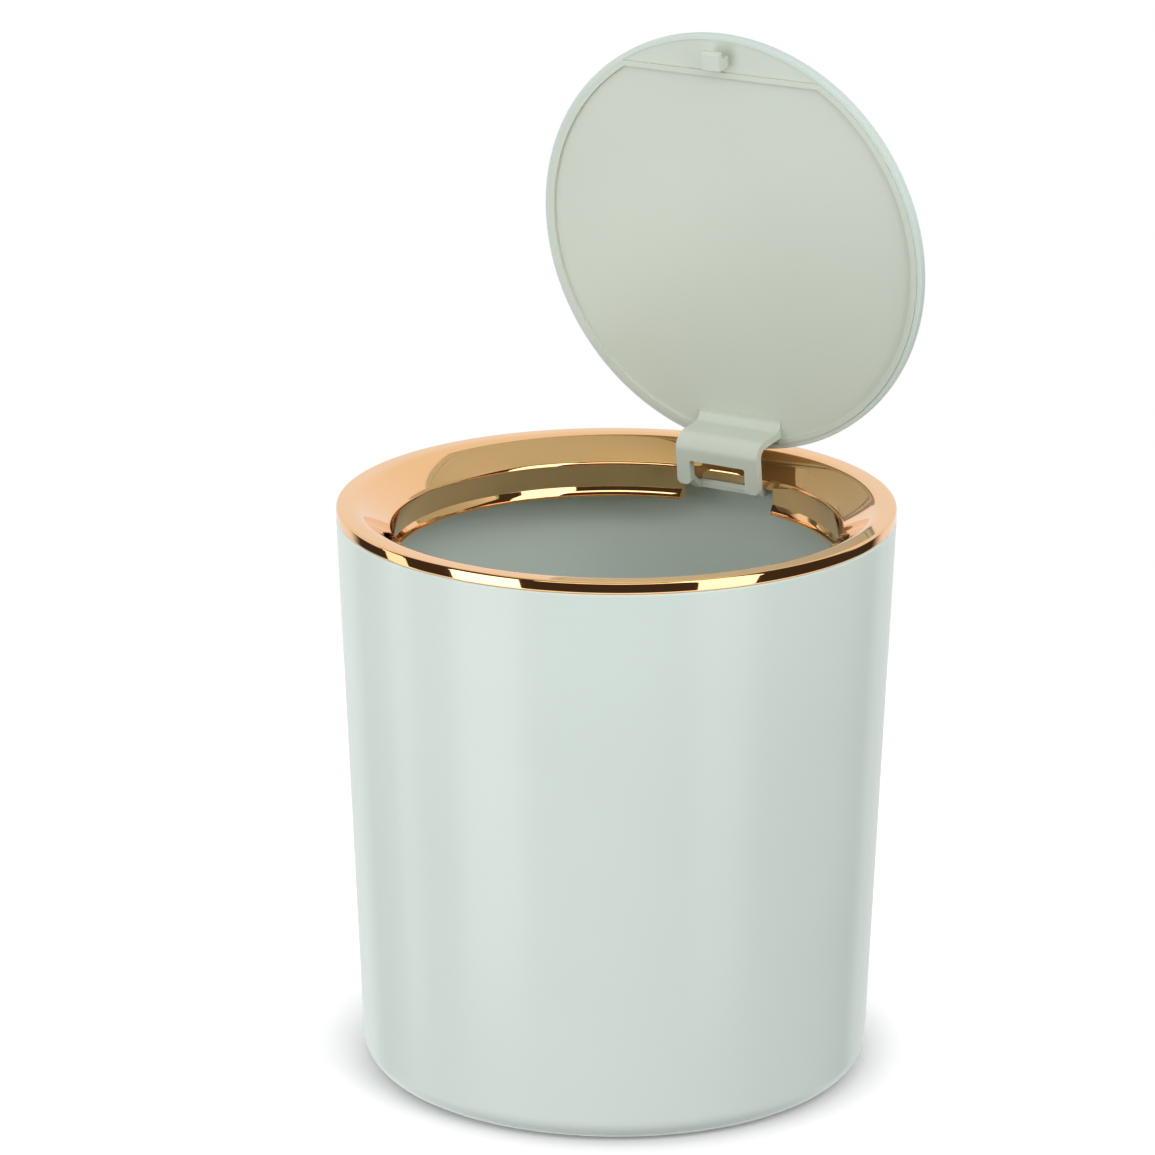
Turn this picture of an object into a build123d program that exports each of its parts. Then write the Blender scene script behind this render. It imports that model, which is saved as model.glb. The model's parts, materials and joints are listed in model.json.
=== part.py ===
from build123d import *
import math
import os

# Countertop bin with a hinged press-to-open lid, at its real size in millimetres.
# +Z is up, the origin is the middle of the base where it stands on the counter,
# the hinge is on the +Y side and the latch on the -Y side.
# Depths named "drop" are measured down from the crown of the rim.

# ---------------------------------------------------------------- cup
rim_height = 136.0           # counter to the crown of the rim
rim_radius = 65.0            # outside of the rim and of the cup's mouth
rim_side = 2.8               # height of the plated band above the cup
side_taper = 5.5             # the side comes in by this much down to the counter
base_fillet = 6.0
cup_wall = 1.8
cup_floor = 2.2
foot_ring_width = 5.0        # ring of the base that touches the counter
foot_recess = 0.8

# ---------------------------------------------------------------- rim
crown_round = 0.7            # outer top edge of the rim
band_round = 0.5             # lower edge of the band round the rim
crown_width = 4.6            # flat crown, from the rim's outside to the cone
crease_round = 1.0
cone_width = 8.2             # cone, in to the collar
mouth_drop = 5.3             # crown to the foot of the cone
mouth_round = 0.9
rim_wall = 1.8
collar_wall = 1.4
bead_drop = 11.2             # top of the bead that stops an overpressed lid
bead_height = 2.4
bead_reach = 1.2
bead_round = 1.1
skirt_wall = 1.3
skirt_drop = 12.5            # lower end of the skirt that plugs into the cup
seat_gap = 0.3               # between the skirt and the cup's wall
lip_drop = 7.8               # collar left above the hinge notch

# ---------------------------------------------------------------- lid
lid_clearance = 0.6          # round the closed lid
lid_drop = 8.0               # underside of the closed lid
lid_edge_height = 3.5
lid_dome_rise = 1.0
lid_edge_round = 1.8
lid_cover_wall = 1.4
lid_side_wall = 1.2
lid_open_angle = 83.0
cover_lift = 0.3             # the cover's edge stays this far above the lip
panel_gap = 0.1              # between the inner panel and the cover
panel_lip = 1.4              # width of the lip round the inner panel
panel_recess = 0.8           # lip down to the panel's floor
panel_floor = 1.1
rib_inset = 10.2             # straight rib, from the lid's free edge
rib_width = 1.3
front_floor_lift = 0.3       # floor in front of the rib is this much shallower

# ---------------------------------------------------------------- strike hook
hook_width = 4.6
hook_inset = 4.7             # far face of the stem, from the lid's free edge
hook_thickness = 2.7
hook_reach = 3.8             # below the lid's lip
barb_reach = 1.7
barb_height = 1.5
barb_chamfer = 0.7

# ---------------------------------------------------------------- hinge
hinge_inset = 6.5            # pin to the rim's outside
hinge_drop = 7.0
pin_radius = 1.0
pin_running_gap = 0.05
barrel_radius = 2.1
barrel_setback = 0.2         # from the window's side to the barrels
bracket_width = 22.4
bracket_wall = 1.8           # the part that stands on the lid
bracket_wall_offset = 12.6   # its front face, from the pin
bracket_foot_round = 2.2     # between its front face and the lid
bracket_foot_edge = 0.3
bracket_plate = 2.1
bracket_plate_offset = 12.3  # outer face of the plate, from the pin
bracket_plate_short = 0.2    # the plate stops this far short of the pin
bracket_bend = 4.0
window_width = 15.2
window_far = 6.4             # closed end of the window, from the pin
window_corner = 0.6
cheek_width = 1.8
cheek_front = 0.35           # shoulder that meets the lip when open
cheek_end = 2.2              # outer edge of the cheeks, past the pin
cheek_knee = 7.7             # from the pin to where the cheeks turn to the plate
cheek_root = 2.0             # height of the cheeks along the plate
bar_offset = 5.6             # from the pin to the bar between the cheeks
bar_thickness = 1.6
bar_chamfer = 0.8
notch_gap = 1.4              # gap in the collar each side of the bracket
skirt_gap = 0.7              # gap in the skirt each side of the holder

# ---------------------------------------------------------------- hinge holder
web_thickness = 1.5
web_gap = 0.4                # between the bracket and the webs
web_front = 2.3              # edges of the webs, from the pin
web_back = 2.4
web_drop = 9.6
roof_drop = 3.5
roof_thickness = 1.0
roof_front = 0.6
roof_clearance = 0.1         # under the rim
back_wall_thickness = 0.9
back_wall_drop = 12.0
back_wall_cutback = 1.6      # clears the leg that moves with the lid
flange_drop = 5.6
flange_thickness = 1.4
flange_length = 6.5
flange_width = 4.1
flange_gap = 0.4             # between the flange and the skirt

# ---------------------------------------------------------------- screws
screw_radius = 0.8
screw_head_radius = 1.7
screw_head_height = 1.1
screw_hole_gap = 0.25
pilot_gap = 0.05
boss_radius = 2.2
screw_bite = 2.4             # length of thread inside the boss
socket_depth = 0.6

# ---------------------------------------------------------------- hinge spring
spring_wire = 0.7
spring_radius = 1.75         # middle of the wire
spring_turns = 16
spring_end_gap = 0.1         # between the ends and the lid's barrels
spring_split_gap = 0.5       # between the coils and the last turn
spring_leg_margin = 0.5      # the leg stops short of the back wall's end
spring_lid_leg = 6.9

# ---------------------------------------------------------------- latch
latch_travel = 4.0
latch_top_drop = 6.6
latch_wall = 1.2
latch_collar_gap = 0.2       # behind the collar
latch_cover_plate = 0.9
latch_front_wall = 1.0
latch_slot_gap = 0.4         # each side of the claw
latch_slot_slack = 1.2       # below the lug when the slider is down
collar_slot_drop = 6.2
latch_flange_drop = 6.4
latch_flange_thickness = 1.4
latch_flange_length = 5.8
latch_flange_width = 4.8

slider_width = 9.8
slider_thickness = 3.5
slider_gap = 0.3             # between the slider and the housing's front
slider_side_gap = 0.5
slider_back_gap = 1.0        # room for the wire link
slider_floor_gap = 1.4       # under the slider when it is down
slider_top_drop = 8.4
slider_height = 12.0
arm_half_width = 2.6
arm_short = 0.6              # the arm stops short of the hook's near face
arm_drop = 9.9
arm_thickness = 2.0
lug_round = 1.3
spring_pocket_radius = 1.25
spring_pocket_depth = 5.4
cam_depth = 0.8
cam_half_width = 2.4
cam_top_drop = 8.9
cam_height = 5.6
cam_island_half_width = 0.9
cam_island_height = 1.8

claw_pivot_gap = 0.4         # between the claw's boss and the slider
claw_pivot_drop = 14.0
claw_pin_radius = 0.6
claw_boss_radius = 1.3
claw_side_gap = 0.3
claw_cheek = 1.0
claw_angle = 10.0            # it swings this far to grip the strike hook
claw_nose_gap = 1.0          # between the nose and the hook's stem
claw_nose_drop = 7.9
claw_nose_height = 0.9
claw_nose_length = 3.0

latch_spring_wire = 0.3
latch_spring_radius = 0.8
latch_spring_pitch = 1.1
link_radius = 0.3
link_bend = 0.4
link_x = 1.65
link_foot_lift = 1.4         # above the housing's floor
link_tip_gap = 0.5           # above the end of the cam track

# ---------------------------------------------------------------- worked out
cup_height = rim_height - rim_side
base_radius = rim_radius - side_taper
side_slope = (rim_radius - base_radius) / cup_height
crown_inner_radius = rim_radius - crown_width
mouth_radius = crown_inner_radius - cone_width
collar_outer_radius = mouth_radius + collar_wall
cone_slope = mouth_drop / cone_width
cone_under = rim_wall * math.hypot(1, cone_slope)

lid_radius = mouth_radius - lid_clearance
lid_under_z = rim_height - lid_drop
rib_offset = lid_radius - rib_inset
hook_front = lid_radius - hook_inset
hook_back = hook_front - hook_thickness

hinge_y = rim_radius - hinge_inset
hinge_z = rim_height - hinge_drop
hinge_axis = Axis((0, hinge_y, hinge_z), (1, 0, 0))
bracket_half = bracket_width / 2
notch_half_width = bracket_half + notch_gap
web_inner_x = bracket_half + web_gap
web_outer_x = web_inner_x + web_thickness
skirt_gap_half_width = web_outer_x + skirt_gap
barrel_inner_x = window_width / 2 + barrel_setback
spring_end_x = barrel_inner_x - spring_end_gap - spring_wire / 2
spring_length = 2 * spring_end_x - spring_wire - spring_split_gap
spring_pitch = spring_length / spring_turns

latch_front = collar_outer_radius + latch_collar_gap
slider_front = latch_front + latch_front_wall + slider_gap
slider_back = slider_front + slider_thickness
latch_back = slider_back + slider_back_gap
slider_bottom_drop = slider_top_drop + slider_height
latch_inner_floor_drop = slider_bottom_drop + latch_travel + slider_floor_gap
latch_floor_drop = latch_inner_floor_drop + latch_wall
slider_half_width = slider_width / 2
latch_half_width = slider_half_width + slider_side_gap + latch_wall
latch_flange_reach = latch_half_width + latch_flange_length
latch_flange_back = latch_front + latch_flange_width
latch_screw_x = latch_half_width + latch_flange_length / 2
latch_screw_y = (latch_front + latch_flange_back) / 2
claw_inner_x = arm_half_width + claw_side_gap
claw_outer_x = claw_inner_x + claw_cheek
claw_pivot_y = slider_front - claw_pivot_gap - claw_boss_radius
claw_axis = Axis((0, -claw_pivot_y, rim_height - claw_pivot_drop), (1, 0, 0))
latch_slot_half_width = claw_outer_x + latch_slot_gap
latch_slot_drop = claw_pivot_drop + lug_round + latch_travel + latch_slot_slack


def cup_inner_radius(drop):
    """Inside radius of the cup's tapered wall at a drop below the crown."""
    return base_radius + side_slope * (rim_height - drop) - cup_wall


def skirt_radius(drop):
    """Outside radius of the skirt at a drop below the crown."""
    return cup_inner_radius(drop) - seat_gap


def cone_underside(radius):
    """Drop of the underside of the rim's cone at a radius."""
    return (crown_inner_radius - radius) * cone_slope + cone_under


def outline_face(points):
    """A flat face from corners, each a 3-D point and its rounding."""
    places = [place for place, _ in points]
    rounds = [rounding for _, rounding in points]
    return make_face(FilletPolyline(*places, radius=rounds, close=True))


def turned(points):
    """A solid of revolution about Z from corners (radius, height[, rounding])."""
    corners = [((p[0], 0, p[1]), p[2] if len(p) > 2 else 0) for p in points]
    return revolve(outline_face(corners), axis=Axis.Z)


def turned_below_crown(points):
    """The same, from corners (radius, drop[, rounding])."""
    return turned([(p[0], rim_height - p[1]) + tuple(p[2:]) for p in points])


def prism(points, x_from, x_to):
    """A solid of one section (y, z[, rounding]) between two X planes."""
    corners = [((x_from, p[0], p[1]), p[2] if len(p) > 2 else 0) for p in points]
    return extrude(outline_face(corners), amount=x_to - x_from, dir=(1, 0, 0))


def prism_below_crown(points, x_from, x_to):
    """The same, from corners (y, drop[, rounding])."""
    return prism([(p[0], rim_height - p[1]) + tuple(p[2:]) for p in points], x_from, x_to)


def block(x, y, z):
    """A box from its lowest and highest x, y and z."""
    size = [high - low for low, high in (x, y, z)]
    middle = [(high + low) / 2 for low, high in (x, y, z)]
    return Pos(*middle) * Box(*size)


def block_below_crown(x, y, drop):
    """A box whose height is given as its upper and lower drop."""
    return block(x, y, (rim_height - drop[1], rim_height - drop[0]))


def rod_x(radius, x_from, x_to, y, z):
    """A round rod along X."""
    return Pos((x_from + x_to) / 2, y, z) * Rot(0, 90, 0) * Cylinder(radius, x_to - x_from)


def rod_z(radius, x, y, drop_top, drop_bottom):
    """A round rod along Z between two drops."""
    length = drop_bottom - drop_top
    return Pos(x, y, rim_height - drop_top - length / 2) * Cylinder(radius, length)


def mirrored_x(solid):
    """A solid together with its mirror image across the YZ plane."""
    return solid + mirror(solid, about=Plane.YZ)


def opened(solid):
    """Swing a piece of the lid from its closed place to where it rests open."""
    return solid.rotate(hinge_axis, -lid_open_angle)


def wire_along(path, radius):
    """A round wire along a path."""
    start = Plane(origin=path @ 0, z_dir=path % 0)
    return sweep(start * Circle(radius), path=path)


# ---------------------------------------------------------------- cup
def bin_body():
    """Tapered cup with a rounded base that stands on a narrow ring."""
    outside = turned([
        (0, 0), (base_radius, 0, base_fillet), (rim_radius, cup_height), (0, cup_height)])
    inside_base = base_radius + side_slope * cup_floor - cup_wall
    inside = turned([
        (0, cup_floor), (inside_base, cup_floor, base_fillet - cup_wall),
        (rim_radius - cup_wall, cup_height), (0, cup_height)])
    recess_radius = base_radius - base_fillet - foot_ring_width
    recess = turned([(0, 0), (recess_radius, 0), (recess_radius, foot_recess), (0, foot_recess)])
    return outside - inside - recess


# ---------------------------------------------------------------- rim
def rim_profile():
    """Plated rim: crown, cone, collar with its bead, and skirt."""
    flat_under = crown_inner_radius + (cone_under - rim_wall) / cone_slope
    skirt_top = skirt_radius(rim_side)
    skirt_end = skirt_radius(skirt_drop)
    bead_radius = mouth_radius - bead_reach
    return turned_below_crown([
        (rim_radius, rim_side, band_round),
        (rim_radius, 0, crown_round),
        (crown_inner_radius, 0, crease_round),
        (mouth_radius, mouth_drop, mouth_round),
        (mouth_radius, bead_drop),
        (bead_radius, bead_drop, bead_round),
        (bead_radius, bead_drop + bead_height, bead_round),
        (collar_outer_radius, bead_drop + bead_height),
        (collar_outer_radius, cone_underside(collar_outer_radius)),
        (flat_under, rim_wall),
        (skirt_top - skirt_wall, rim_wall),
        (skirt_end - skirt_wall, skirt_drop),
        (skirt_end, skirt_drop),
        (skirt_top, rim_side)])


def under_cone():
    """Everything below the middle of the rim's wall, where bosses may stand."""
    half = cone_under / 2
    inner = mouth_radius + collar_wall / 2
    outer = skirt_radius(skirt_drop) - skirt_wall / 2
    inner_drop = (crown_inner_radius - inner) * cone_slope + half
    return turned_below_crown([
        (inner, inner_drop), (crown_inner_radius, half), (outer, half),
        (outer, skirt_drop), (inner, skirt_drop)])


def flange_radius():
    """Outside radius of the holder's flanges."""
    return skirt_radius(flange_drop + flange_thickness) - skirt_wall - flange_gap


def holder_screw_place():
    """Where the holder's screw on the +X side stands, in x and y."""
    x = web_outer_x + flange_length / 2
    return x, math.sqrt((flange_radius() - flange_width / 2) ** 2 - x ** 2)


def rim_ring():
    """The rim with its hinge notch, latch slot and screw bosses."""
    reach = rim_radius
    below = latch_floor_drop
    holder_screw_x, holder_screw_y = holder_screw_place()
    holder_boss = rod_z(boss_radius, holder_screw_x, holder_screw_y, 0, flange_drop)
    latch_boss = rod_z(boss_radius, latch_screw_x, -latch_screw_y, 0, latch_flange_drop)
    bosses = mirrored_x(holder_boss + latch_boss) & under_cone()
    ring = rim_profile() + bosses
    pilot = screw_radius + pilot_gap
    ring -= mirrored_x(rod_z(
        pilot, holder_screw_x, holder_screw_y, flange_drop - screw_bite, flange_drop))
    ring -= mirrored_x(rod_z(
        pilot, latch_screw_x, -latch_screw_y, latch_flange_drop - screw_bite, latch_flange_drop))
    ring -= block_below_crown(
        (-notch_half_width, notch_half_width), (0, collar_outer_radius + collar_wall),
        (lip_drop, below))
    ring -= block_below_crown(
        (-skirt_gap_half_width, skirt_gap_half_width), (hinge_y - roof_front, reach),
        (roof_drop - roof_clearance, below))
    ring -= block_below_crown(
        (-latch_slot_half_width, latch_slot_half_width), (-latch_front, 0),
        (collar_slot_drop, below))
    return ring


# ---------------------------------------------------------------- lid
def domed_section(radius, bottom, edge_z):
    """Half section of a disc with a shallow domed top."""
    sphere = (radius ** 2 + lid_dome_rise ** 2) / (2 * lid_dome_rise)
    half_angle = math.asin(radius / sphere) / 2
    top_z = edge_z + lid_dome_rise
    half_way = (sphere * math.sin(half_angle), 0, top_z - sphere * (1 - math.cos(half_angle)))
    dome = ThreePointArc((radius, 0, edge_z), half_way, (0, 0, top_z))
    sides = Polyline((0, 0, top_z), (0, 0, bottom), (radius, 0, bottom), (radius, 0, edge_z))
    return make_face([dome, sides])


def lid_cover():
    """Thin domed disc whose side wall wraps the inner panel."""
    edge_z = lid_under_z + lid_edge_height
    bottom = lid_under_z + cover_lift
    outside = domed_section(lid_radius, bottom, edge_z)
    corner = outside.vertices().sort_by_distance((lid_radius, 0, edge_z))[0]
    inside = domed_section(lid_radius - lid_side_wall, bottom, edge_z - lid_cover_wall)
    return opened(revolve(fillet(corner, lid_edge_round) - inside, axis=Axis.Z))


def panel_radius():
    """Outside of the inner panel, inside the cover's side wall."""
    return lid_radius - lid_side_wall - panel_gap


def lid_inner_panel():
    """Underside of the lid: lip, straight rib, recessed floor and strike hook."""
    floor_z = lid_under_z + panel_recess
    top_z = floor_z + panel_floor
    outer = panel_radius()
    inner = outer - panel_lip
    rib_front = -rib_offset - rib_width
    disc = turned([(0, floor_z), (outer, floor_z), (outer, top_z), (0, top_z)])
    lip = turned(
        [(0, lid_under_z), (outer, lid_under_z), (outer, floor_z), (0, floor_z)])
    well = turned(
        [(0, lid_under_z), (inner, lid_under_z), (inner, floor_z), (0, floor_z)])
    well &= block((-outer, outer), (-rib_offset, outer), (lid_under_z, floor_z))
    front = block(
        (-outer, outer), (-outer, rib_front), (lid_under_z, floor_z - front_floor_lift))
    root = block(
        (-bracket_half, bracket_half), (hinge_y - bracket_wall_offset, lid_radius),
        (lid_under_z, floor_z))
    return opened(disc + (lip - well - front - root) + strike_hook())


def strike_hook():
    """Barbed hook near the lid's free edge, in the closed place."""
    tip_z = lid_under_z - hook_reach
    root_z = lid_under_z + panel_recess - front_floor_lift
    barb_z = tip_z + barb_height
    barb_y = -hook_front - barb_reach
    half = hook_width / 2
    return prism([
        (-hook_back, root_z), (-hook_back, tip_z), (barb_y + barb_chamfer, tip_z),
        (barb_y, tip_z + barb_chamfer), (barb_y, barb_z), (-hook_front, barb_z),
        (-hook_front, root_z)], -half, half)


def bracket_plate_piece(wall_front, plate_outer, plate_inner):
    """Gooseneck from the lid to the ends of the plate's two legs."""
    half = bracket_half
    wall_back = wall_front + bracket_wall
    plate_end = hinge_y - bracket_plate_short
    root_z = lid_under_z + panel_recess
    foot_z = root_z - bracket_foot_edge
    foot_front = wall_front - bracket_foot_round - bracket_foot_edge
    root_back = math.sqrt(panel_radius() ** 2 - half ** 2)
    neck = prism([
        (foot_front, root_z), (foot_front, foot_z), (wall_front, foot_z, bracket_foot_round),
        (wall_front, plate_outer, bracket_bend),
        (plate_end, plate_outer), (plate_end, plate_inner),
        (wall_back, plate_inner, bracket_bend - bracket_wall), (wall_back, lid_under_z),
        (root_back, lid_under_z), (root_back, root_z)], -half, half)
    window = block(
        (-window_width / 2, window_width / 2), (hinge_y - window_far, plate_end),
        (plate_outer, plate_inner))
    closed_end = window.edges().filter_by(Axis.Z).sort_by(Axis.Y)[:2]
    neck -= fillet(closed_end, window_corner)
    leg_width = half - window_width / 2
    leg_ends = [
        edge for edge in neck.edges().filter_by(Axis.Z)
        if abs(edge.center().Y - plate_end) < leg_width / 2 and edge.center().Z < plate_inner]
    return fillet(leg_ends, leg_width / 3)


def lid_hinge_bracket():
    """Gooseneck that carries the lid round the edge of the mouth to the pin."""
    wall_front = hinge_y - bracket_wall_offset
    plate_outer = hinge_z - bracket_plate_offset
    plate_inner = plate_outer + bracket_plate
    front = hinge_y + cheek_front
    end = hinge_y + cheek_end
    knee_z = hinge_z - cheek_knee
    cheek_outer_x = barrel_inner_x + cheek_width
    plate_end = hinge_y - bracket_plate_short
    cheek = prism([
        (front, hinge_z), (front, knee_z), (plate_end - cheek_root, plate_inner),
        (plate_end, plate_inner), (end, knee_z), (hinge_y + barrel_radius, hinge_z)],
        barrel_inner_x, cheek_outer_x)
    barrel = rod_x(barrel_radius, barrel_inner_x, bracket_half, hinge_y, hinge_z)
    bar_top = hinge_z - bar_offset
    bar_bottom = bar_top - bar_thickness
    bar = prism([
        (front, bar_top), (front, bar_bottom + bar_chamfer), (front + bar_chamfer, bar_bottom),
        (end, bar_bottom), (end, bar_top)], -cheek_outer_x, cheek_outer_x)
    bracket = bracket_plate_piece(wall_front, plate_outer, plate_inner)
    bracket += mirrored_x(cheek + barrel) + bar
    bore = rod_x(pin_radius + pin_running_gap, -bracket_half, bracket_half, hinge_y, hinge_z)
    return opened(bracket - bore)


# ---------------------------------------------------------------- hinge
def hinge_holder():
    """Saddle under the rim that carries the pin, with two screw flanges."""
    front = hinge_y - web_front
    back = hinge_y + web_back
    roof_y = hinge_y - roof_front
    roof_under = roof_drop + roof_thickness
    roof = block_below_crown((-web_outer_x, web_outer_x), (roof_y, back), (roof_drop, roof_under))
    web_section = [
        (front, roof_under), (roof_y, roof_drop), (back, roof_drop), (back, web_drop),
        (front, web_drop)]
    webs = mirrored_x(prism_below_crown(web_section, web_inner_x, web_outer_x))
    back_wall_y = hinge_y + spring_radius + spring_wire / 2
    back_wall = block_below_crown(
        (-barrel_inner_x, barrel_inner_x - back_wall_cutback),
        (back_wall_y, back_wall_y + back_wall_thickness), (roof_drop, back_wall_drop))
    outer = flange_radius()
    inner = outer - flange_width
    under = flange_drop + flange_thickness
    disc = turned_below_crown([
        (inner, flange_drop), (outer, flange_drop), (outer, under), (inner, under)])
    flange = disc & block_below_crown(
        (web_inner_x, web_outer_x + flange_length), (0, rim_radius), (flange_drop, under))
    hole = rod_z(screw_radius + screw_hole_gap, *holder_screw_place(), flange_drop, under)
    holder = roof + webs + back_wall + mirrored_x(flange - hole)
    return holder - rod_x(pin_radius, -web_outer_x, web_outer_x, hinge_y, hinge_z)


def hinge_pin():
    """Plain steel pin held in the holder's two webs."""
    return rod_x(pin_radius, -web_outer_x, web_outer_x, hinge_y, hinge_z)


def coil(radius, pitch, turns, wire):
    """A helical wire standing on the origin."""
    path = Helix(pitch=pitch, height=pitch * turns, radius=radius)
    start = Plane(origin=path @ 0, z_dir=path % 0)
    return sweep(start * Circle(wire / 2), path=path, is_frenet=True)


def spring_axis_place(x):
    """Stands a coil on the pin, with its open end at the back."""
    return Pos(x, hinge_y, hinge_z) * Rot(0, 90, 0) * Rot(0, 0, 90)


def hinge_spring():
    """Torsion spring round the pin, with the leg that bears on the holder."""
    turns = coil(spring_radius, spring_pitch, spring_turns, spring_wire)
    leg_y = hinge_y + spring_radius
    leg_end = rim_height - back_wall_drop + spring_leg_margin
    leg = Line(
        (-spring_end_x, leg_y - spring_end_gap, hinge_z + spring_wire / 2),
        (-spring_end_x, leg_y, leg_end))
    return spring_axis_place(-spring_end_x) * turns + wire_along(leg, spring_wire / 2)


def hinge_spring_lid_end():
    """Last turn of the torsion spring, with the leg that pushes the lid open."""
    place = Pos(spring_end_x, hinge_y, hinge_z) * Rot(0, 90, 0)
    ring = place * Torus(spring_radius, spring_wire / 2)
    tip_y = hinge_y + cheek_end + spring_wire / 2 + spring_end_gap
    leg = Line(
        (spring_end_x, hinge_y + spring_radius, hinge_z),
        (spring_end_x, tip_y, hinge_z - spring_lid_leg))
    return opened(ring + wire_along(leg, spring_wire / 2))


# ---------------------------------------------------------------- screws
def screw(x, y, drop):
    """Pan-head screw driven upwards, its head against a face at this drop."""
    top = drop - screw_bite - flange_thickness
    shank = rod_z(screw_radius, x, y, top, drop)
    head = rod_z(screw_head_radius, x, y, drop, drop + screw_head_height)
    slot = rod_z(
        screw_radius, x, y, drop + screw_head_height - socket_depth, drop + screw_head_height)
    return shank + head - slot


def screw_pair(x, y, drop):
    """Two equal screws, one each side of the middle."""
    return Compound(children=[screw(x, y, drop), screw(-x, y, drop)])


# ---------------------------------------------------------------- latch
def latch_housing():
    """Open-backed box that guides the slider, hung from the rim by two flanges."""
    half = latch_half_width
    shell = block_below_crown(
        (-half, half), (-latch_back, -latch_front), (latch_top_drop, latch_floor_drop))
    cavity_half = half - latch_wall
    shell -= block_below_crown(
        (-cavity_half, cavity_half), (-latch_back, -latch_front - latch_front_wall),
        (latch_top_drop, latch_inner_floor_drop))
    shell -= block_below_crown(
        (-latch_slot_half_width, latch_slot_half_width),
        (-latch_back, -latch_front), (latch_top_drop, latch_slot_drop))
    flange = block_below_crown(
        (cavity_half, latch_flange_reach), (-latch_flange_back, -latch_front),
        (latch_flange_drop, latch_flange_drop + latch_flange_thickness))
    hole = rod_z(
        screw_radius + screw_hole_gap, latch_screw_x, -latch_screw_y,
        latch_flange_drop, latch_flange_drop + latch_flange_thickness)
    return shell + mirrored_x(flange - hole)


def latch_cover():
    """Plate that closes the back of the latch and holds the cam link's foot."""
    half = latch_half_width
    plate = block_below_crown(
        (-half, half), (-latch_back - latch_cover_plate, -latch_back),
        (latch_top_drop, latch_floor_drop))
    foot_z = rim_height - latch_inner_floor_drop + link_foot_lift
    hole = Pos(link_x, -latch_back - latch_cover_plate / 2, foot_z) * Rot(90, 0, 0)
    return plate - hole * Cylinder(link_radius, latch_cover_plate)


def latch_slider():
    """Slider that the strike hook presses down, with its cam track at the back."""
    body = block_below_crown(
        (-slider_half_width, slider_half_width), (-slider_back, -slider_front),
        (slider_top_drop, slider_bottom_drop))
    arm = block_below_crown(
        (-arm_half_width, arm_half_width), (-slider_back, -hook_back - arm_short),
        (arm_drop, arm_drop + arm_thickness))
    lug_front = claw_pivot_y - lug_round
    lug = prism_below_crown([
        (-slider_front, claw_pivot_drop - lug_round), (-lug_front, claw_pivot_drop - lug_round),
        (-lug_front, claw_pivot_drop + lug_round, lug_round),
        (-slider_front, claw_pivot_drop + lug_round)], -arm_half_width, arm_half_width)
    pocket = rod_z(
        spring_pocket_radius, 0, -(slider_front + slider_back) / 2,
        slider_bottom_drop - spring_pocket_depth, slider_bottom_drop)
    track = block_below_crown(
        (-cam_half_width, cam_half_width), (-slider_back, -slider_back + cam_depth),
        (cam_top_drop, cam_top_drop + cam_height))
    island_top = cam_top_drop + (cam_height - cam_island_height) / 2
    track -= block_below_crown(
        (-cam_island_half_width, cam_island_half_width), (-slider_back, -slider_back + cam_depth),
        (island_top, island_top + cam_island_height))
    pin_hole = rod_x(
        claw_pin_radius, -arm_half_width, arm_half_width, -claw_pivot_y,
        rim_height - claw_pivot_drop)
    return body + arm + lug - pocket - track - pin_hole


def latch_claw_pin():
    """Pin that the claw swings on, held in the slider's lug."""
    return rod_x(
        claw_pin_radius, -claw_outer_x, claw_outer_x, -claw_pivot_y,
        rim_height - claw_pivot_drop)


def latch_claw():
    """Yoke that folds over the strike hook's barb as the slider goes down."""
    pivot_y = -claw_pivot_y
    pivot_z = rim_height - claw_pivot_drop
    tip_y = -hook_front - claw_nose_gap
    root_y = tip_y - claw_nose_length
    nose_top = claw_nose_drop - claw_nose_height
    side = prism_below_crown([
        (pivot_y - claw_boss_radius, claw_pivot_drop), (pivot_y + claw_boss_radius, claw_pivot_drop),
        (root_y + claw_boss_radius, arm_drop), (root_y + claw_boss_radius, nose_top),
        (root_y, nose_top), (root_y, arm_drop)], claw_inner_x, claw_outer_x)
    side += rod_x(claw_boss_radius, claw_inner_x, claw_outer_x, pivot_y, pivot_z)
    side -= rod_x(
        claw_pin_radius + pin_running_gap, claw_inner_x, claw_outer_x, pivot_y, pivot_z)
    nose = prism_below_crown([
        (root_y, nose_top), (tip_y - claw_nose_height / 2, nose_top),
        (tip_y, claw_nose_drop), (root_y, claw_nose_drop)], -claw_outer_x, claw_outer_x)
    return (mirrored_x(side) + nose).rotate(claw_axis, claw_angle)


def latch_spring():
    """Compression spring that lifts the slider."""
    top_drop = slider_bottom_drop - spring_pocket_depth
    length = latch_inner_floor_drop - top_drop - latch_spring_wire
    turns = length / latch_spring_pitch
    foot_z = rim_height - latch_inner_floor_drop + latch_spring_wire / 2
    place = Pos(0, -(slider_front + slider_back) / 2, foot_z)
    return place * coil(latch_spring_radius, latch_spring_pitch, turns, latch_spring_wire)


def latch_cam_link():
    """Bent wire whose tip runs in the slider's cam track."""
    wire_y = link_radius - latch_back
    tip_y = -slider_back + cam_depth / 2
    foot_z = rim_height - latch_inner_floor_drop + link_foot_lift
    tip_z = rim_height - cam_top_drop - cam_height + link_tip_gap
    path = FilletPolyline(
        (link_x, -latch_back - latch_cover_plate, foot_z), (link_x, wire_y, foot_z),
        (link_x, wire_y, tip_z), (link_x, tip_y, tip_z), radius=link_bend)
    return wire_along(path, link_radius)


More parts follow.
